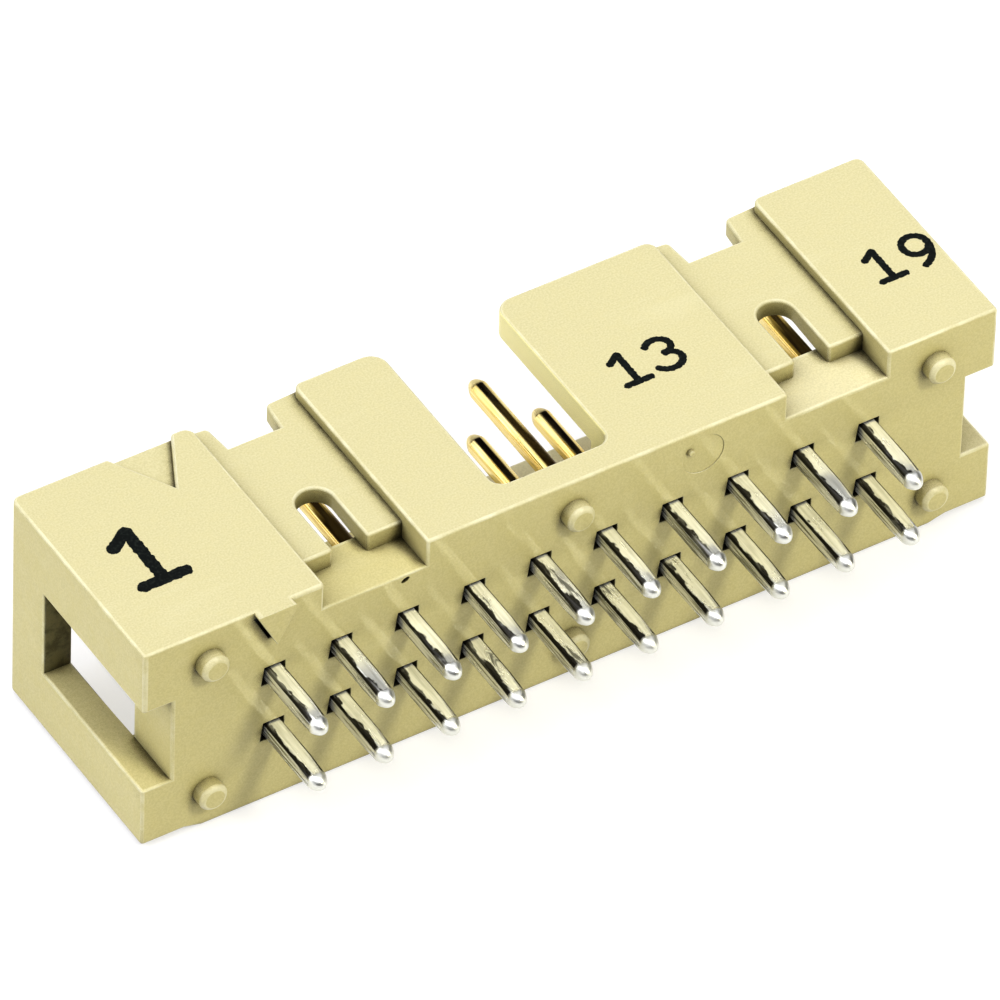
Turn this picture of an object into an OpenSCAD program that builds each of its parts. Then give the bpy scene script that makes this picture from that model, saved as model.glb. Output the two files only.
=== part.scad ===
// Shrouded male pin header, two rows of ten contacts, straight solder pins.
// The housing is one moulding. The part lies on its plain long wall, as it would
// on a bench: +X along the rows, +Y towards the mating opening, +Z up through the
// keyed wall. The origin is under the middle of the whole part's box.

/* [Contacts] */
// Distance between neighbouring contacts, along and across the rows
pitch = 2.54; // [2.50:0.01:2.56]
// Side of the square contact pins
pin_side = 0.64; // [0.58:0.01:0.68]
// How far the solder pins stand out of the base face
solder_len = 3.18; // [2.6:0.02:4.0]
// Height of the mating tips above the base face
mating_top = 8.46; // [7.0:0.02:8.48]
// Length of the coined tip on the mating side
mating_tip = 0.5; // [0.45:0.05:1.0]
// Length of the coined tip on the solder side
solder_tip = 0.42; // [0.4:0.02:0.8]
// Radius of the rounded nose of each tip
nose_r = 0.28; // [0.12:0.01:0.28]
// Width of the press-fit shoulders inside the floor
shoulder_w = 0.8; // [0.72:0.01:0.86]
// Length of the press-fit shoulders
shoulder_len = 0.9; // [0.6:0.05:1.1]

/* [Housing] */
// From each end face to the centre of the nearest contacts
end_margin = 4.95; // [4.8:0.01:5.2]
// Overall depth from the keyed wall's face to the plain wall's face
width = 8.8; // [8.7:0.05:9.1]
// Height of the housing from base face to rim
height = 8.55; // [8.5:0.05:9.2]
// Thickness of the two long walls
wall_t = 1.12; // [1.04:0.02:1.2]
// Thickness of the two end walls
end_wall_t = 1.1; // [0.95:0.05:1.2]
// Thickness of the floor that holds the contacts
floor_t = 2.35; // [2.2:0.05:2.8]

/* [Keying] */
// Width of the polarising slot
key_w = 4.4; // [4.2:0.05:4.7]
// How far the slot's middle lies from the middle of the housing
key_shift = -0.18; // [-0.3:0.02:0.3]
// Height of the bottom of the polarising slot above the base face
key_z = 1.1; // [1.0:0.05:1.8]
// How far the polarising slot runs in from the keyed wall's face, so that its foot also notches the floor
key_depth = 1.5; // [1.25:0.05:1.8]
// Rounding of the two rim corners beside the polarising slot
key_corner_r = 0.65; // [0.2:0.05:0.8]
// Rounding of the slot's two lower corners
key_foot_r = 0.5; // [0.2:0.05:0.6]
// Depth of the sunk triangle that marks contact 1
mark_depth = 0.25; // [0.15:0.05:0.4]
// Length of the sunk triangle from the rim
mark_len = 2.2; // [1.6:0.05:2.8]

/* [Latching windows] */
// Width of each recessed panel
panel_w = 3.92; // [3.8:0.02:4.2]
// How far each panel is set back from the keyed wall's face
panel_depth = 0.4; // [0.3:0.05:0.5]
// Height of the panel's lower edge, above the ledge
panel_z = 1.58; // [1.4:0.02:1.9]
// Width of the arched window in each panel
window_w = 1.32; // [1.0:0.02:1.6]
// Height of the top of each arch above the base face
window_top = 4.43; // [4.0:0.01:5.2]
// Width of the notch in the rim of each panel
notch_w = 1.98; // [1.6:0.02:2.2]
// Depth of the notch in the rim of each panel
notch_depth = 1.17; // [0.8:0.01:1.5]

/* [Ends] */
// Width of the slot in each end wall
end_slot_w = 3.55; // [3.2:0.05:3.9]
// Height of the top of each end slot above the base face
end_slot_top = 6.35; // [6.0:0.05:7.0]
// How far the plain wall's face is set back beside each end
toe_depth = 0.18; // [0.1:0.02:0.3]
// Length of each set-back, from the end face to the start of its slope
toe_len = 1.6; // [1.2:0.1:2.0]
// How far the plain wall's rim lies below the rim of the end walls
plain_drop = 0.15; // [0:0.05:0.4]
// Far side of the relief slot at each end of the plain wall
relief_end = 3.3; // [2.6:0.05:3.5]
// Height of the bottom of each relief slot above the base face
relief_z = 3.8; // [3.2:0.05:4.2]

/* [Stand-offs] */
// Diameter of the round stand-offs on the base face
standoff_d = 1.05; // [0.9:0.05:1.15]
// Height of the stand-offs
standoff_h = 0.55; // [0.4:0.05:0.8]
// Side of the shallow pocket round each solder pin
pocket_side = 0.84; // [0.82:0.02:1.0]
// Depth of the pockets
pocket_depth = 0.35; // [0.2:0.05:0.5]

/* [Marks on the base face] */
// Height of the small triangle that points to contact 1
guide_h = 0.35; // [0.15:0.05:0.45]
// Depth of the narrow slit along the triangle's left side
slit_depth = 0.45; // [0.3:0.05:0.7]
// Diameter of the shallow gate dimple
gate_d = 1.6; // [1.2:0.1:1.8]
// Depth of the gate dimple
gate_depth = 0.03; // [0.02:0.01:0.06]

/* [Hidden] */
columns = 10;
e = 0.01;
length = (columns - 1) * pitch + 2 * end_margin;
mid_x = length / 2;
row_y = [width / 2 - pitch / 2, width / 2 + pitch / 2];
// Each panel is centred between two columns: the second and third, and the last two.
panel_x = [end_margin + 1.5 * pitch, end_margin + 8.5 * pitch];
key_x0 = mid_x + key_shift - key_w / 2;
key_x1 = mid_x + key_shift + key_w / 2;
mark_x = end_margin;
notch_x = (panel_w - notch_w) / 2 - 0.19;
notch_flare = 0.13;
window_shift = -0.03;
pin_half_diag = pin_side / 2 * sqrt(2);
shoulder_z = 0.9;
standoff_x = [2.47, mid_x, length - 2.37];
standoff_y = [1.38, width - 1.55];
// Where the base face lies along Y, with the origin midway from solder tips to rim
base_y = (solder_len - height) / 2;

// From the upright working frame (X along the rows, Y from the keyed wall to
// the plain wall, Z from the base face to the rim) to the lying part frame.
module lay() translate([-mid_x, base_y, width]) rotate([-90, 0, 0]) children();

// What a rounding of radius r takes off the corner at the origin, for material
// on the +X and +Y side of it.
module corner_2d(r) difference() {
    translate([-e, -e]) square(r + e);
    translate([r, r]) circle(r, $fn = 48);
}

// An upright prism across the keyed wall, cut from a profile in X and Z.
module across(y0, y1) translate([0, y1, 0]) rotate([90, 0, 0]) linear_extrude(y1 - y0) children();

// Rounds a rim corner at x = cx. dir is 1 where the material is on its +X side.
module rim_round(cx, dir, r, y0, y1) across(y0, y1)
    translate([cx, height]) scale_mirror(dir) corner_2d(r);
module scale_mirror(dir) mirror([dir > 0 ? 0 : 1, 0]) mirror([0, 1]) children();

module block() difference() {
    cube([length, width, height]);
    // cavity round the contacts, open at the rim
    translate([end_wall_t, wall_t, floor_t])
        cube([length - 2 * end_wall_t, width - 2 * wall_t, height]);
    // slots in the end walls, which also notch the floor
    for (x = [-1, length - end_wall_t])
        translate([x, (width - end_slot_w) / 2, -1])
            cube([end_wall_t + 1, end_slot_w, end_slot_top + 1]);
    // slightly lower rim of the plain wall, between its relief slots
    translate([relief_end - e, width - wall_t - e, height - plain_drop])
        cube([length - 2 * relief_end + 2 * e, wall_t + 1, height]);
    // set-back feet and relief slots at both ends of the plain wall
    for (m = [0, 1]) translate([m * length, 0, 0]) mirror([m, 0, 0]) {
        translate([0, 0, -1]) linear_extrude(height + 2)
            polygon([[-1, width - toe_depth], [toe_len, width - toe_depth],
                [toe_len + 0.7, width], [toe_len + 0.7, width + 1], [-1, width + 1]]);
        translate([end_wall_t, width - wall_t - e, relief_z])
            cube([relief_end - end_wall_t, wall_t + 1, height]);
    }
}

module key_slot() across(-1, key_depth) translate([key_x0, key_z]) difference() {
    square([key_w, height]);
    corner_2d(key_foot_r);
    translate([key_w, 0]) mirror([1, 0]) corner_2d(key_foot_r);
}

// Rounds the rim corner between the rim and a notch side that leans by the angle lean.
// dir is 1 where the material is on its +X side.
module notch_round(x, dir, r, lean) {
    t = r / tan((90 + lean) / 2);
    translate([x, height]) mirror([dir > 0 ? 0 : 1, 0]) difference() {
        polygon([[t, 0], [t, 1], [-0.5, 1], [-0.5, -t * cos(lean)],
            [-t * sin(lean), -t * cos(lean)], [t, -r]]);
        translate([t, -r]) circle(r, $fn = 48);
    }
}

// Panel, ledge, arched window and rim notch round the centre line cx.
module latch_window(cx) {
    x0 = cx - panel_w / 2;
    translate([x0, -1, panel_z - e]) cube([panel_w, 1 + panel_depth, height]);
    translate([x0, -1, -1]) cube([panel_w, 1 + wall_t, 1 + panel_z]);
    across(-1, wall_t) {
        translate([cx + window_shift - window_w / 2, panel_z - e])
            square([window_w, window_top - panel_z - window_w / 2 + e]);
        translate([cx + window_shift, window_top - window_w / 2]) circle(window_w / 2, $fn = 48);
        translate([x0 + notch_x, height - notch_depth])
            polygon([[0, 0], [notch_w, 0], [notch_w + notch_flare, notch_depth],
                [notch_w + notch_flare, notch_depth + 1], [-notch_flare, notch_depth + 1],
                [-notch_flare, notch_depth]]);
        notch_round(x0 + notch_x - notch_flare, -1, 0.2, atan2(notch_flare, notch_depth));
        notch_round(x0 + notch_x + notch_w + notch_flare, 1, 0.2, atan2(notch_flare, notch_depth));
    }
}

module pointer() across(-1, mark_depth)
    polygon([[mark_x - 1.3, height + e], [mark_x + 1.13, height + e], [mark_x, height - mark_len]]);

module rim_corners() {
    // the keyed wall's pads
    rim_round(key_x0, -1, key_corner_r, -1, wall_t);
    rim_round(key_x1, 1, key_corner_r, -1, wall_t);
    for (cx = panel_x) {
        rim_round(cx - panel_w / 2, -1, 0.4, -1, panel_depth);
        rim_round(cx + panel_w / 2, 1, 0.3, -1, panel_depth);
    }
    // outer corners of the shroud
    rim_round(0, 1, 0.3, -1, width + 1);
    rim_round(length, -1, 0.3, -1, width + 1);
}

module standoffs() for (x = standoff_x, y = standoff_y) translate([x, y, 0]) mirror([0, 0, 1]) {
    translate([0, 0, -0.3]) cylinder(h = standoff_h + 0.18, d = standoff_d, $fn = 48);
    translate([0, 0, standoff_h - 0.12])
        cylinder(h = 0.12, d1 = standoff_d, d2 = standoff_d - 0.24, $fn = 48);
}

// One contact at the origin of the upright frame, its axis on Z.
module pin_bar(z0, z1) translate([-pin_side / 2, -pin_side / 2, z0]) cube([pin_side, pin_side, z1 - z0]);

module shoulders() translate([-shoulder_w / 2, -pin_side / 2, shoulder_z])
    cube([shoulder_w, pin_side, shoulder_len]);

// A cone from the bar's corners to a round nose, pointing up from z = 0.
module nose(len) {
    c = len - nose_r;
    d = sqrt(pin_half_diag * pin_half_diag + c * c);
    a = atan2(-c, pin_half_diag) + acos(nose_r / d);
    rotate_extrude($fn = 32) {
        polygon([[0, -0.2], [pin_half_diag, -0.2], [pin_half_diag, 0],
            [nose_r * cos(a), c + nose_r * sin(a)], [0, c + nose_r * sin(a)]]);
        intersection() {
            translate([0, c]) circle(nose_r, $fn = 32);
            square([1, 2 * len]);
        }
    }
}

module contact_shape() {
    pin_bar(-solder_len + solder_tip, mating_top - mating_tip);
    intersection() {
        pin_bar(mating_top - mating_tip - 0.1, mating_top + 0.1);
        translate([0, 0, mating_top - mating_tip]) nose(mating_tip);
    }
    intersection() {
        pin_bar(-solder_len - 0.1, -solder_len + solder_tip + 0.1);
        translate([0, 0, -solder_len + solder_tip]) mirror([0, 0, 1]) nose(solder_tip);
    }
    shoulders();
}

// What the contacts take out of the floor.
module contact_seat() {
    pin_bar(-1, floor_t + 1);
    shoulders();
    // the pocket is wider at its lower left, where the pin leaves the tool
    h = pocket_side / 2;
    translate([0, 0, -1]) linear_extrude(1 + pocket_depth)
        polygon([[0.06 - h, 0.05 - h], [h, 0.05 - h], [h, h - 0.06], [-0.05 - h, h - 0.02]]);
}

// A low triangle flush with the keyed wall's face, pointing to contact 1.
module guide() translate([0, 0, -guide_h]) linear_extrude(guide_h + slit_depth + 0.1)
    polygon([[end_margin - 0.85, 0], [end_margin + 0.72, 0], [end_margin - 0.10, 1.50]]);
// The slit lies against the triangle's left side.
module guide_slit() translate([end_margin - 0.85, 0, -1]) rotate(atan2(1.50, 0.75)) translate([0.32, -e])
    cube([1.25, 0.10 + e, 1 + slit_depth]);

// A shallow gate dimple, and the stub of the sprue in it.
module at_gate() translate([end_margin + 6.45 * pitch, 1.14, 0]) children();
module gate_dimple() at_gate() translate([0, 0, -1]) cylinder(h = 1 + gate_depth, d = gate_d, $fn = 48);
module gate_stub() at_gate() translate([-0.50, -0.30, -0.12]) cylinder(h = 0.4, d1 = 0.22, d2 = 0.34, $fn = 24);

module housing() color([0.93, 0.89, 0.67]) lay() union() {
    difference() {
        block();
        key_slot();
        for (cx = panel_x) latch_window(cx);
        pointer();
        rim_corners();
        for (c = [0 : columns - 1], y = row_y)
            translate([end_margin + c * pitch, y, 0]) contact_seat();
        guide_slit();
        gate_dimple();
        // small pit in the base face's edge below the first panel
        translate([end_margin + 1.95 * pitch, 1.26, -1]) rotate(-25) scale([1.5, 0.8, 1])
            cylinder(h = 1.35, d = 0.22, $fn = 24);
    }
    guide();
    gate_stub();
    standoffs();
}

// Contact n of 20: odd numbers in the row beside the keyed wall, from the mark.
module contact(n) color([0.85, 0.70, 0.38]) lay()
    translate([end_margin + floor((n - 1) / 2) * pitch, row_y[(n - 1) % 2], 0]) contact_shape();

housing();
contact(1);  // contact_01
contact(2);  // contact_02
contact(3);  // contact_03
contact(4);  // contact_04
contact(5);  // contact_05
contact(6);  // contact_06
contact(7);  // contact_07
contact(8);  // contact_08
contact(9);  // contact_09
contact(10);  // contact_10
contact(11);  // contact_11
contact(12);  // contact_12
contact(13);  // contact_13
contact(14);  // contact_14
contact(15);  // contact_15
contact(16);  // contact_16
contact(17);  // contact_17
contact(18);  // contact_18
contact(19);  // contact_19
contact(20);  // contact_20
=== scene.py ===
import collections
import math

import bmesh
import bpy
import numpy as np
from mathutils import Matrix, Vector


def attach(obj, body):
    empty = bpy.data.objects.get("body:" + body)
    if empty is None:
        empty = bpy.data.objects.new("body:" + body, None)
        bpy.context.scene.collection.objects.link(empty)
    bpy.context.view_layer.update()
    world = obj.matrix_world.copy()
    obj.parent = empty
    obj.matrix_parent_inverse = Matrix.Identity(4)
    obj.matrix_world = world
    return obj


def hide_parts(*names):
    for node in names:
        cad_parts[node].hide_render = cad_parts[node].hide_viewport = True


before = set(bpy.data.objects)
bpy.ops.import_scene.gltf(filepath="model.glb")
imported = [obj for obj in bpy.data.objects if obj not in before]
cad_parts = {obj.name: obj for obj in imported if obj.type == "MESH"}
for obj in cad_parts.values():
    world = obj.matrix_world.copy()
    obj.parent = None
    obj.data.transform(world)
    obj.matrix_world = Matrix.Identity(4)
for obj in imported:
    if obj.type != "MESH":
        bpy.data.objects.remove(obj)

# A shrouded two-row board header lying on its plain long wall.
# All lengths below are in millimetres in an upright frame (a along the rows from the first
# contact's end, b from the keyed wall's face to the plain wall's face, c from the base face
# up to the rim), and at() turns them into the shared frame in metres.
MM = 0.001
LENGTH, WIDTH, HEIGHT = 32.76, 8.8, 8.55
PITCH, MARGIN, SOLDER, TOP = 2.54, 4.95, 3.18, 8.46
BASE_Y = (SOLDER - HEIGHT) / 2


def at(a, b, c):
    return Vector(((a - LENGTH / 2) * MM, (BASE_Y + c) * MM, (WIDTH - b) * MM))


ROWS = (WIDTH / 2 - PITCH / 2, WIDTH / 2 + PITCH / 2)
COLUMNS = [MARGIN + PITCH * k for k in range(10)]
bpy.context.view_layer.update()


# ---------------------------------------------------------------- camera
def make_camera():
    """The camera that was fitted to the photograph, as a plain matrix and a long lens."""
    az, el, roll = (math.radians(x) for x in (-32.8779, 44.075, 1.9891))
    back = Vector((math.sin(az) * math.cos(el), -math.cos(az) * math.cos(el), math.sin(el)))
    right = Vector((math.cos(az), math.sin(az), 0.0))
    up = back.cross(right)
    r = math.cos(roll) * right + math.sin(roll) * up
    u = -math.sin(roll) * right + math.cos(roll) * up
    px_per_mm, far = 30.34, 585.96
    lx, ly = (501.3675 - 500) / px_per_mm, (500 - 494.8148) / px_per_mm
    place = (Vector((0.0, 1.765, 4.45)) - lx * r - ly * u + far * back) * MM
    cam = bpy.data.cameras.new("camera")
    cam.sensor_width = 36
    cam.lens = px_per_mm * far / 1000 * 36
    cam.clip_start, cam.clip_end = 0.01, 50
    ob = bpy.data.objects.new("camera", cam)
    bpy.context.scene.collection.objects.link(ob)
    m = Matrix.Identity(4)
    for i in range(3):
        m[i][0], m[i][1], m[i][2], m[i][3] = r[i], u[i], back[i], place[i]
    ob.matrix_world = m
    bpy.context.scene.camera = ob


# ---------------------------------------------------------------- node helpers
class Tree:
    def __init__(self, name):
        self.mat = bpy.data.materials.new(name)
        self.mat.use_nodes = True
        self.t = self.mat.node_tree
        self.bsdf = self.t.nodes["Principled BSDF"]

    def node(self, kind, **sets):
        n = self.t.nodes.new(kind)
        for k, v in sets.items():
            setattr(n, k, v)
        return n

    def link(self, a, b):
        self.t.links.new(a, b)

    def coords(self):
        return self.node("ShaderNodeTexCoord").outputs["Object"]

    def stretch(self, source, scale, shift=(0, 0, 0)):
        n = self.node("ShaderNodeMapping")
        n.inputs["Scale"].default_value = scale
        n.inputs["Location"].default_value = shift
        self.link(source, n.inputs["Vector"])
        return n.outputs["Vector"]

    def noise(self, source, scale, detail=2.0, rough=0.5, distort=0.0):
        n = self.node("ShaderNodeTexNoise")
        n.inputs["Scale"].default_value = scale
        n.inputs["Detail"].default_value = detail
        n.inputs["Roughness"].default_value = rough
        n.inputs["Distortion"].default_value = distort
        self.link(source, n.inputs["Vector"])
        return n.outputs["Fac"]

    def remap(self, source, a, b, c=0.0, d=1.0, smooth=True):
        n = self.node("ShaderNodeMapRange", interpolation_type="SMOOTHSTEP" if smooth else "LINEAR")
        for k, v in zip(("From Min", "From Max", "To Min", "To Max"), (a, b, c, d)):
            n.inputs[k].default_value = v
        self.link(source, n.inputs["Value"])
        return n.outputs["Result"]

    def math(self, op, a, b=None, clamp=False):
        n = self.node("ShaderNodeMath", operation=op, use_clamp=clamp)
        for i, x in enumerate((a, b)):
            if x is None:
                continue
            if isinstance(x, (int, float)):
                n.inputs[i].default_value = x
            else:
                self.link(x, n.inputs[i])
        return n.outputs[0]

    def mix(self, fac, a, b, blend="MIX"):
        n = self.node("ShaderNodeMix", data_type="RGBA", blend_type=blend)
        for sock, x in ((n.inputs[0], fac), (n.inputs[6], a), (n.inputs[7], b)):
            if isinstance(x, (int, float)):
                sock.default_value = x
            elif isinstance(x, tuple):
                sock.default_value = (*x, 1.0) if len(x) == 3 else x
            else:
                self.link(x, sock)
        return n.outputs[2]

    def ramp(self, source, *stops):
        n = self.node("ShaderNodeValToRGB")
        while len(n.color_ramp.elements) < len(stops):
            n.color_ramp.elements.new(0.5)
        for element, (place, colour) in zip(n.color_ramp.elements, stops):
            element.position = place
            element.color = (*colour, 1.0)
        self.link(source, n.inputs[0])
        return n.outputs[0]

    def split(self, source):
        n = self.node("ShaderNodeSeparateXYZ")
        self.link(source, n.inputs[0])
        return n.outputs

    def open_sky(self, distance, samples, own=False, lean=None):
        """How open the surface is within a distance: 1 on a bare face, near 0 deep in a slit.
        lean tilts the look-out that way, so that painted shade made from it falls on one side of a step, as the shadow
        of a lamp on the other side would."""
        n = self.node("ShaderNodeAmbientOcclusion", samples=samples, only_local=own)
        n.inputs["Distance"].default_value = distance
        if lean:
            tilt = self.node("ShaderNodeVectorMath", operation="ADD")
            self.link(self.node("ShaderNodeNewGeometry").outputs["Normal"], tilt.inputs[0])
            tilt.inputs[1].default_value = lean
            unit = self.node("ShaderNodeVectorMath", operation="NORMALIZE")
            self.link(tilt.outputs[0], unit.inputs[0])
            self.link(unit.outputs[0], n.inputs["Normal"])
        return n.outputs["AO"]

    def bump(self, height, strength, distance, chain=None):
        n = self.node("ShaderNodeBump")
        n.inputs["Strength"].default_value = strength
        n.inputs["Distance"].default_value = distance
        self.link(height, n.inputs["Height"])
        if chain is not None:
            self.link(chain, n.inputs["Normal"])
        return n.outputs["Normal"]


# ---------------------------------------------------------------- materials
def ivory():
    """Glass-filled ivory plastic: fine speckle, faint flow marks and a moulded skin with some gloss, with painted light
    and shade: paler painted highlights on the rounded edges, sides painted darker and yellower, painted shade in
    recesses and brown painted shade in crevices, ledges painted darker to the left and lighter to the right, the
    polarising slot's side painted pale as if lit and the end slots' tops painted dark."""
    m = Tree("ivory_plastic")
    p = m.coords()
    speck = m.noise(p, 15000.0, 1.0, 0.5)
    cloud = m.noise(p, 2600.0, 3.0, 0.6)
    flow = m.noise(m.stretch(p, (0.30, 1.0, 1.0)), 700.0, 4.0, 0.6, 0.4)
    edge_shine_and_bump = m.noise(p, 900.0, 3.0, 0.6, 0.4)
    colour = m.mix(m.remap(speck, 0.26, 0.74), (0.518, 0.478, 0.282), (0.585, 0.542, 0.332))
    colour = m.mix(m.math("MULTIPLY", m.remap(cloud, 0.40, 0.70), 0.24), colour, (0.565, 0.515, 0.285))
    colour = m.mix(m.math("MULTIPLY", m.remap(flow, 0.55, 0.72), 0.14), colour, (0.66, 0.63, 0.44))
    normal = m.split(m.node("ShaderNodeTexCoord").outputs["Normal"])
    upright = m.math("ABSOLUTE", normal[2])
    # painted shade: faces that are not level are painted darker and yellower than the level ones
    colour = m.mix(1.0, colour, m.mix(m.remap(upright, 0.2, 0.9), (0.925, 0.905, 0.745), (1.0, 1.0, 1.0)), "MULTIPLY")
    rounding_highlight_and_bump = m.node("ShaderNodeAttribute", attribute_name="rounding_highlight_and_bump").outputs["Fac"]
    # painted highlight: the roundings and the stand-offs' chamfers are painted paler, in patches
    colour = m.mix(m.math("MULTIPLY", rounding_highlight_and_bump, m.remap(edge_shine_and_bump, 0.36, 0.70, 0.12, 0.45)), colour, (0.74, 0.72, 0.56))
    # painted light and shade: the up-facing ledges below the pads are painted darker to the left and lighter to the
    # right
    x, y, z = m.split(p)
    ledge = m.math("MULTIPLY", m.remap(z, 7.9 * MM, 7.75 * MM), m.remap(normal[2], 0.6, 0.9))
    tint = m.mix(m.remap(x, -2.0 * MM, 2.0 * MM), (0.95, 0.93, 0.80), (1.10, 1.10, 1.16))
    colour = m.mix(ledge, colour, m.mix(1.0, colour, tint, "MULTIPLY"))
    # painted light: the polarising slot's side that faces the first end is painted pale and warm, as if lit
    beside = m.math("MULTIPLY", m.remap(x, 2.00 * MM, 2.02 * MM), m.remap(x, 2.20 * MM, 2.10 * MM))
    pale = m.math("MULTIPLY", beside, m.remap(normal[0], -0.6, -0.9))
    colour = m.mix(pale, colour, (0.80, 0.74, 0.37))
    # painted shade: the end slots' tops, which face the base, are painted dark, unevenly
    inside = m.math("MULTIPLY", m.remap(y, (BASE_Y + 5.9) * MM, (BASE_Y + 6.2) * MM), m.remap(normal[1], -0.6, -0.9))
    colour = m.mix(m.math("MULTIPLY", inside, m.remap(cloud, 0.3, 0.6, 0.95, 0.70)), colour, (0.10, 0.09, 0.04))
    # painted shade: the moulding's own recesses are painted darker and browner the more enclosed they are
    wide = m.remap(m.open_sky(0.005, 5, True), 0.12, 0.68)
    colour = m.mix(1.0, colour, m.mix(wide, (0.14, 0.12, 0.06), (1.0, 1.0, 1.0)), "MULTIPLY")
    # painted shade: crevices and the feet of steps are painted brown to near black, more beside walls that face away
    # from the key lamp
    crevice_shade = m.math("ADD", m.open_sky(0.0006, 5, False, (0.8, -0.2, 0.2)), m.remap(cloud, 0.3, 0.7, -0.05, 0.05, False))
    crevice_shade_tint = m.ramp(crevice_shade, (0.10, (0.010, 0.009, 0.005)), (0.30, (0.06, 0.055, 0.03)),
                   (0.46, (0.34, 0.31, 0.20)), (0.58, (0.80, 0.78, 0.68)), (0.70, (1.0, 1.0, 1.0)))
    colour = m.mix(1.0, colour, crevice_shade_tint, "MULTIPLY")
    m.link(colour, m.bsdf.inputs["Base Color"])
    m.link(m.remap(cloud, 0.30, 0.75, 0.36, 0.48), m.bsdf.inputs["Roughness"])
    m.bsdf.inputs["IOR"].default_value = 1.50
    m.bsdf.inputs["Specular IOR Level"].default_value = 0.25
    m.bsdf.inputs["Coat Weight"].default_value = 0.12
    m.bsdf.inputs["Coat Roughness"].default_value = 0.10
    skin = m.math("ADD", m.math("MULTIPLY", speck, 0.12), m.math("MULTIPLY", m.math("MULTIPLY", rounding_highlight_and_bump, edge_shine_and_bump), 2.5))
    m.link(m.bump(skin, 0.6, 0.00001), m.bsdf.inputs["Normal"])
    return m.mat


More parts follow.
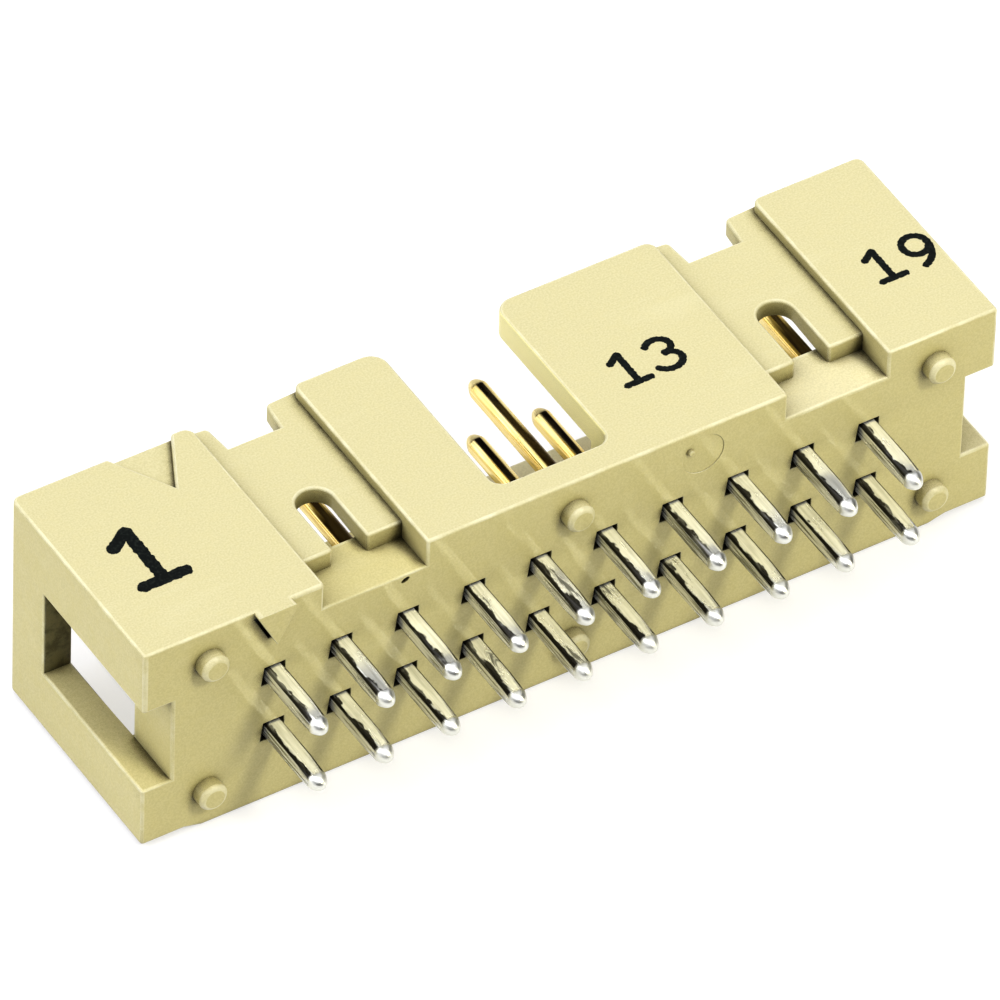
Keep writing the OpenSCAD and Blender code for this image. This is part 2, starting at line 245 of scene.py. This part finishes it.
def contact_metal():
    """Gold on the mating end, bright tin on the solder end, drawn along the pin. The two side faces, cut from the
    strip, are streaked and painted darker as shade, in place of the dark reflection on them; the edges of the tin have
    a dark line; the flats of the gold carry a painted dark reflection in dull brown; the pins are painted near black at
    their roots as shade; and the solder tips are bare and pale."""
    m = Tree("contact_metal")
    p = m.coords()
    x, y, z = m.split(p)
    normal = m.split(m.node("ShaderNodeTexCoord").outputs["Normal"])
    nx, nz = m.math("ABSOLUTE", normal[0]), m.math("ABSOLUTE", normal[2])
    side_shade = m.remap(nx, 0.80, 0.98)
    edge = m.remap(m.math("MULTIPLY", nx, nz), 0.24, 0.44)
    mating = m.remap(y, (BASE_Y + 0.9) * MM, (BASE_Y + 1.5) * MM)
    tip = m.remap(y, (BASE_Y - SOLDER + 0.50) * MM, (BASE_Y - SOLDER + 0.36) * MM)
    # how far across its own pin, and how far up it, a point lies from the pin's axis
    across = m.math("SUBTRACT", m.math("MODULO", m.math("ADD", x, (LENGTH / 2 - MARGIN + 10.5 * PITCH) * MM), PITCH * MM), PITCH / 2 * MM)
    aloft = m.math("SUBTRACT", m.math("MODULO", m.math("ADD", z, (10.5 * PITCH - WIDTH + ROWS[0]) * MM), PITCH * MM), PITCH / 2 * MM)
    sway = m.remap(m.noise(m.stretch(p, (1.0, 0.0, 1.0)), 500.0, 0.0), 0.2, 0.8, -0.06 * MM, 0.06 * MM, False)
    wander = m.noise(m.stretch(p, (1.0, 0.40, 1.0)), 2000.0, 3.0, 0.6)
    drawn = m.noise(m.stretch(p, (1.0, 0.05, 1.0)), 9000.0, 2.0, 0.6)
    patch = m.noise(m.stretch(p, (1.0, 0.22, 1.0)), 2300.0, 4.0, 0.65, 0.5)
    root = m.remap(m.open_sky(0.00022, 4), 0.12, 0.50)
    tin = m.mix(m.remap(drawn, 0.25, 0.65), (0.72, 0.72, 0.64), (0.97, 0.97, 0.89))
    # painted shade: the side faces are painted dark grey, streaked along the draw, in place of the dark reflection on
    # them
    tin = m.mix(m.math("MULTIPLY", side_shade, m.remap(drawn, 0.34, 0.56, 0.80, 0.12)), tin, (0.12, 0.12, 0.09))
    tin = m.mix(m.math("MULTIPLY", m.remap(patch, 0.62, 0.67), 0.75), tin, (0.06, 0.06, 0.045))
    tin = m.mix(m.math("MULTIPLY", edge, m.remap(patch, 0.34, 0.52, 0.45, 1.0)), tin, (0.020, 0.018, 0.012))
    # a dark line wanders along the left of each top face, widest near the upper row's tips
    near_tip = m.math("MULTIPLY", m.remap(y, (BASE_Y - 1.7) * MM, (BASE_Y - 2.3) * MM), m.remap(z, 4.0 * MM, 4.8 * MM))
    shift = m.math("SUBTRACT", m.remap(wander, 0.34, 0.66, -0.10 * MM, 0.12 * MM, False), m.math("MULTIPLY", near_tip, 0.07 * MM))
    line = m.math("MULTIPLY", m.remap(m.math("ADD", across, shift), -0.14 * MM, -0.19 * MM), m.remap(normal[2], 0.25, 0.5))
    foot = m.remap(m.math("ADD", aloft, m.math("MULTIPLY", shift, 0.4)), -0.20 * MM, -0.25 * MM)
    tin = m.mix(m.math("MULTIPLY", m.math("MAXIMUM", line, foot), m.remap(patch, 0.35, 0.50, 0.70, 0.97)), tin, (0.020, 0.018, 0.012))
    tin = m.mix(tip, tin, (0.76, 0.76, 0.70))
    gold = m.mix(m.remap(drawn, 0.30, 0.70), (0.78, 0.60, 0.20), (0.95, 0.81, 0.40))
    gold = m.mix(m.math("MULTIPLY", m.remap(patch, 0.60, 0.66), 0.45), gold, (0.16, 0.09, 0.04))
    # painted reflection: the gold's top face is painted black along the middle, and dull brown to the right low down,
    # in place of the dark cavity it reflects
    offset = m.math("ADD", across, sway)
    middle = m.math("MULTIPLY", m.remap(offset, -0.14 * MM, -0.09 * MM), m.remap(offset, 0.13 * MM, 0.08 * MM))
    middle = m.math("MULTIPLY", middle, m.remap(y, (BASE_Y + TOP - 0.34) * MM, (BASE_Y + TOP - 0.48) * MM))
    wider = m.math("ADD", offset, m.remap(m.math("ABSOLUTE", x), 4.0 * MM, 5.0 * MM, 0.0, 0.10 * MM))
    low = m.math("MULTIPLY", m.remap(wider, -0.14 * MM, -0.09 * MM), m.remap(y, (BASE_Y + 6.0) * MM, (BASE_Y + 4.8) * MM))
    painted_reflection_band = m.math("MAXIMUM", m.math("MULTIPLY", middle, m.remap(normal[2], 0.35, 0.60)),
                  m.math("MULTIPLY", low, m.remap(normal[2], -0.10, 0.15)))
    gold = m.mix(m.math("MULTIPLY", painted_reflection_band, m.remap(patch, 0.30, 0.62, 0.96, 0.84)), gold, (0.040, 0.018, 0.012))
    crown = m.remap(y, (BASE_Y + TOP - 0.50) * MM, (BASE_Y + TOP - 0.34) * MM)
    gold = m.mix(m.math("MULTIPLY", crown, 0.8), gold, (0.80, 0.69, 0.36))
    colour = m.mix(mating, tin, gold)
    # painted shade: each pin is painted near black where it is enclosed, at its root in the pocket
    colour = m.mix(root, (0.015, 0.014, 0.010), colour)
    m.link(colour, m.bsdf.inputs["Base Color"])
    bare = m.math("SUBTRACT", m.math("MULTIPLY", m.math("MAXIMUM", mating, tip), 0.34), m.math("MULTIPLY", crown, 0.50))
    m.link(m.math("ADD", bare, 0.66), m.bsdf.inputs["Metallic"])
    dull = m.math("ADD", m.math("MULTIPLY", tip, 0.18), m.math("MULTIPLY", crown, 0.28))
    m.link(m.math("ADD", m.remap(patch, 0.35, 0.70, 0.14, 0.30), dull), m.bsdf.inputs["Roughness"])
    m.link(m.bump(drawn, 0.12, 0.000006), m.bsdf.inputs["Normal"])
    return m.mat


def ink():
    """Matt marking ink, thin and slightly patchy."""
    m = Tree("marking_ink")
    p = m.coords()
    patch = m.noise(p, 9000.0, 3.0, 0.6)
    m.link(m.mix(m.remap(patch, 0.45, 0.75), (0.004, 0.006, 0.005), (0.02, 0.025, 0.02)), m.bsdf.inputs["Base Color"])
    m.bsdf.inputs["Roughness"].default_value = 0.7
    m.bsdf.inputs["Specular IOR Level"].default_value = 0.15
    m.link(m.bump(patch, 0.2, 0.000008), m.bsdf.inputs["Normal"])
    return m.mat


def floor_paper():
    """Plain white paper."""
    m = Tree("floor_paper")
    p = m.coords()
    n = m.noise(p, 60.0, 2.0, 0.5)
    m.link(m.mix(m.remap(n, 0.3, 0.7), (0.375, 0.375, 0.372), (0.390, 0.390, 0.387)), m.bsdf.inputs["Base Color"])
    m.bsdf.inputs["Roughness"].default_value = 0.9
    m.bsdf.inputs["Specular IOR Level"].default_value = 0.1
    m.bsdf.inputs["Emission Color"].default_value = (1.0, 0.99, 0.97, 1.0)
    m.bsdf.inputs["Emission Strength"].default_value = 0.62
    return m.mat


# ---------------------------------------------------------------- housing
def open_housing(source):
    """The CAD housing without its hidden contact channels, flat faces joined."""
    bm = bmesh.new()
    bm.from_mesh(source)
    bmesh.ops.remove_doubles(bm, verts=bm.verts, dist=2e-7)
    y_lo, y_hi = (BASE_Y + 0.35) * MM, (BASE_Y + 2.35) * MM
    seats = [at(a, b, 0) for a in COLUMNS for b in ROWS]
    hidden = []
    for f in bm.faces:
        if not y_lo - 1e-6 < f.calc_center_median().y < y_hi + 1e-6:
            continue
        for s in seats:
            if all(abs(v.co.x - s.x) < 0.405 * MM and abs(v.co.z - s.z) < 0.325 * MM
                   and y_lo - 1e-6 < v.co.y < y_hi + 1e-6 for v in f.verts):
                hidden.append(f)
                break
    bmesh.ops.delete(bm, geom=hidden, context="FACES")
    bmesh.ops.delete(bm, geom=[v for v in bm.verts if not v.link_faces], context="VERTS")
    bmesh.ops.holes_fill(bm, edges=[e for e in bm.edges if e.is_boundary], sides=0)
    bmesh.ops.dissolve_limit(bm, angle_limit=math.radians(0.5), use_dissolve_boundaries=False,
                             verts=bm.verts, edges=bm.edges, delimit=set())
    for v in bm.verts:
        a, b, c = v.co.x / MM + LENGTH / 2, WIDTH - v.co.z / MM, v.co.y / MM - BASE_Y
        if abs(a - 9.903) < 0.20 and 1.14 < b < 1.40 and -0.01 < c < 0.36:
            v.co.z -= 0.075 * MM  # the pit stays clear of the ledge's rounding
    bmesh.ops.recalc_face_normals(bm, faces=bm.faces)
    return bm


def edge_rooms(bm, sharp):
    """For each sharp edge, how wide its rounding may be: so far as the nearest other sharp edge
    in either of its faces allows, leaving out its own smooth chain and the chains that meet it
    at a corner. Hollow edges stay sharp, so a rounding may come nearer to those."""
    planes, plane_of = {}, {}
    for f in bm.faces:
        n = f.normal
        d = n.dot(f.verts[0].co)
        key = (round(n.x, 3), round(n.y, 3), round(n.z, 3), round(d / MM, 3))
        plane_of[f.index] = planes.setdefault(key, len(planes))
    number = {e.index: i for i, e in enumerate(sharp)}
    # smooth chains
    parent = list(range(len(sharp)))

    def root(i):
        while parent[i] != i:
            parent[i] = parent[parent[i]]
            i = parent[i]
        return i

    at_vertex = collections.defaultdict(list)
    for i, e in enumerate(sharp):
        for v in e.verts:
            at_vertex[v.index].append(i)
    for v, around in at_vertex.items():
        co = bm.verts[v].co
        for x in range(len(around)):
            for y in range(x + 1, len(around)):
                a, b = sharp[around[x]], sharp[around[y]]
                da = (a.other_vert(bm.verts[v]).co - co).normalized()
                db = (b.other_vert(bm.verts[v]).co - co).normalized()
                if da.dot(db) < -0.93:
                    parent[root(around[x])] = root(around[y])
    chain = np.array([root(i) for i in range(len(sharp))])
    touching = collections.defaultdict(set)
    for v, around in at_vertex.items():
        for i in around:
            for j in around:
                touching[chain[i]].add(chain[j])
    a = np.array([e.verts[0].co[:] for e in sharp]) / MM
    b = np.array([e.verts[1].co[:] for e in sharp]) / MM
    on_plane = collections.defaultdict(list)
    for i, e in enumerate(sharp):
        for f in e.link_faces:
            on_plane[plane_of[f.index]].append(i)
    share = np.array([0.42 if e.calc_face_angle_signed(0) > 0 else 0.70 for e in sharp])
    rooms = np.full(len(sharp), 9.0)
    steps = np.linspace(0.04, 0.96, 9)[:, None]
    for i, e in enumerate(sharp):
        skip = touching[chain[i]]
        near = {j for f in e.link_faces for j in on_plane[plane_of[f.index]] if chain[j] not in skip}
        if not near:
            continue
        j = np.array(sorted(near))
        pts = a[i] + (b[i] - a[i]) * steps
        d = b[j] - a[j]
        w = pts[:, None, :] - a[j][None]
        t = np.clip((w * d[None]).sum(2) / np.maximum((d * d).sum(1), 1e-12)[None], 0, 1)
        rooms[i] = (np.sqrt(((w - t[..., None] * d[None]) ** 2).sum(2)) * share[j][None]).min()
    return rooms, chain


def make_housing(mat):
    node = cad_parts["housing"]
    bm = open_housing(node.data)
    layer = bm.edges.layers.float.new("bevel_weight_edge")
    for part in (bm.verts, bm.edges, bm.faces):
        part.ensure_lookup_table()
        part.index_update()
    sharp = [e for e in bm.edges if abs(e.calc_face_angle_signed(0)) > math.radians(25)]
    rooms, chain = edge_rooms(bm, sharp)
    widest = 0.30
    radius = np.zeros(len(sharp))
    for i, (e, room) in enumerate(zip(sharp, rooms)):
        if e.calc_face_angle_signed(0) <= 0:
            continue
        mid = (e.verts[0].co + e.verts[1].co) / 2
        a_mid, b_mid, c_mid = mid.x / MM + LENGTH / 2, WIDTH - mid.z / MM, mid.y / MM - BASE_Y
        want = 0.10
        if b_mid < 0.02 and abs((e.verts[0].co - e.verts[1].co).normalized().y) > 0.9:
            want = 0.22  # the pads' long sides on the keyed wall
        elif c_mid < 0.4 and any(abs(a_mid - a) < 0.50 and abs(b_mid - b) < 0.50 for a in COLUMNS for b in ROWS):
            want = 0.03  # pockets round the pins
        elif abs(c_mid) < 0.6 and abs(a_mid - MARGIN) < 1.05 and -0.01 < b_mid < 1.55 and not (b_mid < 0.02 and c_mid > -0.01):
            want = 0.02  # the triangle that points to the first contact, and its slit
        elif c_mid < -0.05:
            want = 0.05  # stand-offs
        elif c_mid < 0.3 and abs(a_mid - 21.33) < 0.9 and 0.2 < b_mid < 2.05:
            want = 0.02  # gate dimple and pit
        elif c_mid < 0.4 and abs(a_mid - 9.9) < 0.20 and 1.20 < b_mid < 1.5:
            want = 0.0  # pit below the first panel
        radius[i] = min(want, room)
    # one width along each smooth chain
    for c in set(chain):
        own = (chain == c) & (radius > 0)
        if own.any():
            radius[own] = radius[own].min()
    for e, r in zip(sharp, radius):
        e[layer] = r / widest
    me = bpy.data.meshes.new("housing_moulding")
    bm.to_mesh(me)
    bm.free()
    ob = bpy.data.objects.new("housing_moulding", me)
    bpy.context.scene.collection.objects.link(ob)
    bevel = ob.modifiers.new("radii", "BEVEL")
    bevel.limit_method = "WEIGHT"
    bevel.width = widest * MM
    bevel.segments = 3
    bevel.use_clamp_overlap = False
    bevel.miter_outer = "MITER_SHARP"
    bevel.loop_slide = True
    bevel.material = 1
    me.materials.append(mat)
    me.materials.append(mat)
    baked = bpy.data.meshes.new_from_object(ob.evaluated_get(bpy.context.evaluated_depsgraph_get()))
    ob.modifiers.clear()
    ob.data = baked
    baked.name = "housing_moulding"
    bpy.data.meshes.remove(me)
    smooth_flat(baked, 32)
    # the roundings, and the chamfers of the stand-offs, get a painted highlight and the edge bump in the ivory
    edge_shine_and_bump = baked.attributes.new("rounding_highlight_and_bump", "FLOAT", "FACE")
    for f in baked.polygons:
        c_mid = f.center.y / MM - BASE_Y
        chamfer = c_mid < -0.40 and 0.3 < abs(f.normal.y) < 0.95
        edge_shine_and_bump.data[f.index].value = 1.0 if f.material_index == 1 or chamfer else 0.0
    for f in baked.polygons:
        f.material_index = 0
    baked.materials.clear()
    baked.materials.append(mat)
    normals = ob.modifiers.new("normals", "WEIGHTED_NORMAL")
    normals.keep_sharp = True
    normals.weight = 80
    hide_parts("housing")
    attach(ob, "root")
    return ob


def smooth_flat(me, degrees):
    """Smooth shading with edges over the angle kept sharp."""
    bm = bmesh.new()
    bm.from_mesh(me)
    bmesh.ops.remove_doubles(bm, verts=bm.verts, dist=1e-7)
    for f in bm.faces:
        f.smooth = True
    for e in bm.edges:
        e.smooth = not (len(e.link_faces) == 2 and abs(e.calc_face_angle_signed(0)) > math.radians(degrees))
    bm.to_mesh(me)
    bm.free()


# ---------------------------------------------------------------- contacts
def pin_profile(half, corner, count=6):
    """Points round a square with rounded corners, counter-clockwise. One more point at each end
    of a corner keeps the flats flat."""
    pts = []
    c = half - corner
    for q in range(4):
        cx, cy = [(c, c), (-c, c), (-c, -c), (c, -c)][q]
        turn = math.pi / 2 * q
        along = (math.sin(turn), -math.cos(turn))
        pts.append((cx + corner * math.cos(turn) + 0.02 * along[0], cy + corner * math.sin(turn) + 0.02 * along[1]))
        for k in range(count + 1):
            t = math.pi / 2 * (q + k / count)
            pts.append((cx + corner * math.cos(t), cy + corner * math.sin(t)))
        last = math.pi / 2 * (q + 1)
        along = (-math.sin(last), math.cos(last))
        pts.append((cx + corner * math.cos(last) + 0.02 * along[0], cy + corner * math.sin(last) + 0.02 * along[1]))
    return pts


def make_contact(n, mat):
    """A square pin with rounded corners, whose two ends are coined to round noses."""
    a, b = COLUMNS[(n - 1) // 2], ROWS[(n - 1) % 2]
    tip, nose, count = 0.42, 0.50, 14
    rings = []  # height, corner radius, how round, how wide
    for k in range(count, 0, -1):
        u = math.sin(math.pi / 2 * k / count)
        rings.append((-SOLDER + tip * (1 - u), 0.22, u))
    for c in np.linspace(-SOLDER + tip, TOP - nose, 28):
        rings.append((c, 0.12 + 0.10 * min(max((c - 0.5) / 1.5, (-1.9 - c) / 0.86, 0), 1), 0.0))
    for k in range(1, count + 1):
        u = math.sin(math.pi / 2 * k / count)
        rings.append((TOP - nose * (1 - u), 0.22, u))
    bm = bmesh.new()
    rows = []
    for c, corner, u in rings:
        if u > 0.9999:
            rows.append([bm.verts.new(at(a, b, c))])
            continue
        blend = min(u / 0.70, 1.0)
        blend = blend * blend * (3 - 2 * blend)
        size = math.sqrt(1 - u ** 2)
        row = []
        for x, y in pin_profile(0.32, corner, 8):
            round_x, round_y = (0.32 * v / math.hypot(x, y) for v in (x, y))
            row.append(bm.verts.new(at(a + (x + (round_x - x) * blend) * size, b + (y + (round_y - y) * blend) * size, c)))
        rows.append(row)
    for lower, upper in zip(rows, rows[1:]):
        m = max(len(lower), len(upper))
        if len(lower) == 1 or len(upper) == 1:
            point, row = (lower[0], upper) if len(lower) == 1 else (upper[0], lower)
            for k in range(m):
                bm.faces.new((point, row[k], row[(k + 1) % m]))
            continue
        for k in range(m):
            bm.faces.new((lower[k], lower[(k + 1) % m], upper[(k + 1) % m], upper[k]))
    bmesh.ops.recalc_face_normals(bm, faces=bm.faces)
    for f in bm.faces:
        f.smooth = True
    me = bpy.data.meshes.new(f"pin_{n:02d}")
    bm.to_mesh(me)
    bm.free()
    me.materials.append(mat)
    ob = bpy.data.objects.new(f"pin_{n:02d}", me)
    bpy.context.scene.collection.objects.link(ob)
    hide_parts(f"contact_{n:02d}")
    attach(ob, "root")
    return ob


# ---------------------------------------------------------------- numerals
# Strokes on a cell 1 wide and 1.25 high, x to the right and y up.
def arc(cx, cy, rx, ry, a0, a1, steps=14):
    return [(cx + rx * math.cos(math.radians(a0 + (a1 - a0) * k / steps)),
             cy + ry * math.sin(math.radians(a0 + (a1 - a0) * k / steps))) for k in range(steps + 1)]


DIGITS = {
    "1": [[(0.16, 0.98), (0.52, 1.22), (0.52, 0.03)], [(0.14, 0.03), (0.90, 0.03)]],
    "3": [arc(0.46, 0.92, 0.38, 0.31, 150, -80), arc(0.45, 0.34, 0.43, 0.33, 80, -155)],
    "5": [[(0.86, 1.22), (0.20, 1.22), (0.12, 0.68)], arc(0.46, 0.40, 0.42, 0.38, 138, -150)],
    "9": [arc(0.50, 0.84, 0.38, 0.38, 0, 360, 26), arc(0.22, 0.84, 0.66, 0.84, 0, -78, 14)],
}


def near_strokes(px, py, strokes):
    best = np.full(px.shape, 9.0)
    for s in strokes:
        for (x0, y0), (x1, y1) in zip(s, s[1:]):
            dx, dy = x1 - x0, y1 - y0
            t = np.clip(((px - x0) * dx + (py - y0) * dy) / max(dx * dx + dy * dy, 1e-9), 0, 1)
            best = np.minimum(best, np.hypot(px - x0 - t * dx, py - y0 - t * dy))
    return best


def make_numeral(name, text, a, c, size, stroke, mat):
    """Text laid on the keyed wall's face, reading along the rows, its tops towards the rim.
    (a, c) is the lower left corner, size the width of a cell in millimetres."""
    strokes = []
    for k, ch in enumerate(text):
        strokes += [[(x + 1.2 * k, y) for x, y in s] for s in DIGITS[ch]]
    step = 0.026 / size
    wide, high = 1.2 * len(text) - 0.1, 1.25
    xs = np.arange(-0.2, wide + 0.2, step)
    ys = np.arange(-0.2, high + 0.2, step)
    gx, gy = np.meshgrid(xs, ys, indexing="ij")
    # the ink's edge wanders a little, as on a stamped mark
    ragged = 0.055 * (np.sin(gx * 31 + 3 * np.sin(gy * 17)) + np.sin(gy * 37 + 2.5 * np.sin(gx * 23 + 1))) * 0.5
    reach = stroke / 2 / size * (1 + ragged * 2.2)
    gap = near_strokes(gx, gy, strokes) - reach
    bm = bmesh.new()
    inside = gap < 0
    keep = inside[:-1, :-1] & inside[1:, :-1] & inside[1:, 1:] & inside[:-1, 1:]
    g1, g2 = np.gradient(gap, step)
    verts = {}

    def corner(i, j, level):
        key = (i, j, level)
        if key not in verts:
            x, y = gx[i, j], gy[i, j]
            edge = not (keep[max(i - 1, 0):i + 1, max(j - 1, 0):j + 1].all() and 0 < i < len(xs) - 1 and 0 < j < len(ys) - 1)
            if edge:  # out to the stroke's true edge
                n = math.hypot(g1[i, j], g2[i, j]) or 1
                move = min(-gap[i, j], 0.6 * step)
                x, y = x + g1[i, j] / n * move, y + g2[i, j] / n * move
            p = at(a + x * size, 0.0, c + y * size)
            p.z += (0.004 if level else -0.010) * MM
            verts[key] = bm.verts.new(p)
        return verts[key]

    for i, j in np.argwhere(keep):
        i, j = int(i), int(j)
        quad = [(i, j), (i + 1, j), (i + 1, j + 1), (i, j + 1)]
        bm.faces.new([corner(*q, 1) for q in quad])
        bm.faces.new([corner(*q, 0) for q in reversed(quad)])
        for (di, dj), (q0, q1) in (((0, -1), (0, 1)), ((1, 0), (1, 2)), ((0, 1), (2, 3)), ((-1, 0), (3, 0))):
            ii, jj = i + di, j + dj
            if 0 <= ii < keep.shape[0] and 0 <= jj < keep.shape[1] and keep[ii, jj]:
                continue
            p, q = quad[q0], quad[q1]
            bm.faces.new([corner(*p, 1), corner(*p, 0), corner(*q, 0), corner(*q, 1)])
    bmesh.ops.recalc_face_normals(bm, faces=bm.faces)
    me = bpy.data.meshes.new(name)
    bm.to_mesh(me)
    bm.free()
    me.materials.append(mat)
    ob = bpy.data.objects.new(name, me)
    bpy.context.scene.collection.objects.link(ob)
    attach(ob, "root")
    return ob


# ---------------------------------------------------------------- stage and light
def make_stage():
    bm = bmesh.new()
    n, half = 24, 6.0
    grid = [[bm.verts.new((-half + 2 * half * i / n, -half + 2 * half * j / n, 0)) for j in range(n + 1)] for i in range(n + 1)]
    for i in range(n):
        for j in range(n):
            bm.faces.new((grid[i][j], grid[i + 1][j], grid[i + 1][j + 1], grid[i][j + 1]))
    me = bpy.data.meshes.new("floor")
    bm.to_mesh(me)
    bm.free()
    me.materials.append(floor_paper())
    ob = bpy.data.objects.new("floor", me)
    ob.location.z = -0.00002
    bpy.context.scene.collection.objects.link(ob)


def make_sun(name, irradiance, azimuth, elevation, spread, colour):
    """azimuth 0 comes from -Y, 90 from +X."""
    lamp = bpy.data.lights.new(name, "SUN")
    lamp.energy = irradiance
    lamp.angle = math.radians(spread)
    lamp.color = colour
    ob = bpy.data.objects.new(name, lamp)
    a, e = math.radians(azimuth), math.radians(elevation)
    d = Vector((math.sin(a) * math.cos(e), -math.cos(a) * math.cos(e), math.sin(e)))
    ob.rotation_mode = "QUATERNION"
    ob.rotation_quaternion = d.to_track_quat("Z", "Y")
    bpy.context.scene.collection.objects.link(ob)


def make_softbox(name, irradiance, azimuth, elevation, far, side, colour):
    """A square lamp in millimetres, aimed at the middle of the part."""
    lamp = bpy.data.lights.new(name, "AREA")
    lamp.shape = "SQUARE"
    lamp.size = side * MM
    lamp.energy = irradiance * math.pi * (far * MM) ** 2
    lamp.color = colour
    ob = bpy.data.objects.new(name, lamp)
    a, e = math.radians(azimuth), math.radians(elevation)
    d = Vector((math.sin(a) * math.cos(e), -math.cos(a) * math.cos(e), math.sin(e)))
    ob.location = d * far * MM + Vector((0, 0, 4)) * MM
    ob.rotation_mode = "QUATERNION"
    ob.rotation_quaternion = d.to_track_quat("Z", "Y")
    ob.visible_camera = False
    bpy.context.scene.collection.objects.link(ob)


def make_light():
    """A wide soft box overhead, smaller ones low on the left and the right, a dark back and a warm key lamp."""
    world = bpy.data.worlds.new("studio")
    bpy.context.scene.world = world
    world.use_nodes = True
    t = world.node_tree
    back = t.nodes["Background"]
    where = t.nodes.new("ShaderNodeTexCoord")

    def lobe(direction, a, b, strength):
        dot = t.nodes.new("ShaderNodeVectorMath")
        dot.operation = "DOT_PRODUCT"
        dot.inputs[1].default_value = Vector(direction).normalized()
        t.links.new(where.outputs["Generated"], dot.inputs[0])
        ramp = t.nodes.new("ShaderNodeMapRange")
        ramp.interpolation_type = "SMOOTHSTEP"
        for k, v in zip(("From Min", "From Max", "To Min", "To Max"), (a, b, 0.0, strength)):
            ramp.inputs[k].default_value = v
        t.links.new(dot.outputs["Value"], ramp.inputs["Value"])
        return ramp.outputs["Result"]

    def add(x, y):
        n = t.nodes.new("ShaderNodeMath")
        n.operation = "ADD"
        t.links.new(x, n.inputs[0])
        if isinstance(y, float):
            n.inputs[1].default_value = y
        else:
            t.links.new(y, n.inputs[1])
        return n.outputs[0]

    top = lobe((-0.30, 0.03, 0.94), 0.60, 0.92, 2.55)
    left = lobe((-0.88, 0.30, 0.36), 0.80, 0.96, 2.0)
    right = lobe((0.80, 0.58, 0.10), 0.78, 0.96, 0.9)
    t.links.new(add(add(add(top, left), right), 0.04), back.inputs[1])
    back.inputs[0].default_value = (0.98, 0.99, 1.07, 1.0)
    make_sun("key", 1.75, 24, 46, 15, (1.0, 0.98, 0.86))
    make_softbox("side", 0.6, 42, 14, 75, 45, (1.0, 0.97, 0.84))
    scene = bpy.context.scene
    scene.view_settings.view_transform = "Standard"
    scene.view_settings.look = "None"
    scene.view_settings.exposure = 0.0
    scene.view_settings.gamma = 0.8


make_camera()
plastic, metal, black = ivory(), contact_metal(), ink()
make_housing(plastic)
for number in range(1, 21):
    make_contact(number, metal)
make_numeral("numeral_1", "1", 1.35, 2.75, 2.1, 0.46, black)
make_numeral("numeral_13", "13", 20.05, 2.95, 1.2, 0.26, black)
make_numeral("numeral_19", "19", 29.97, 2.95, 1.2, 0.26, black)
make_stage()
make_light()
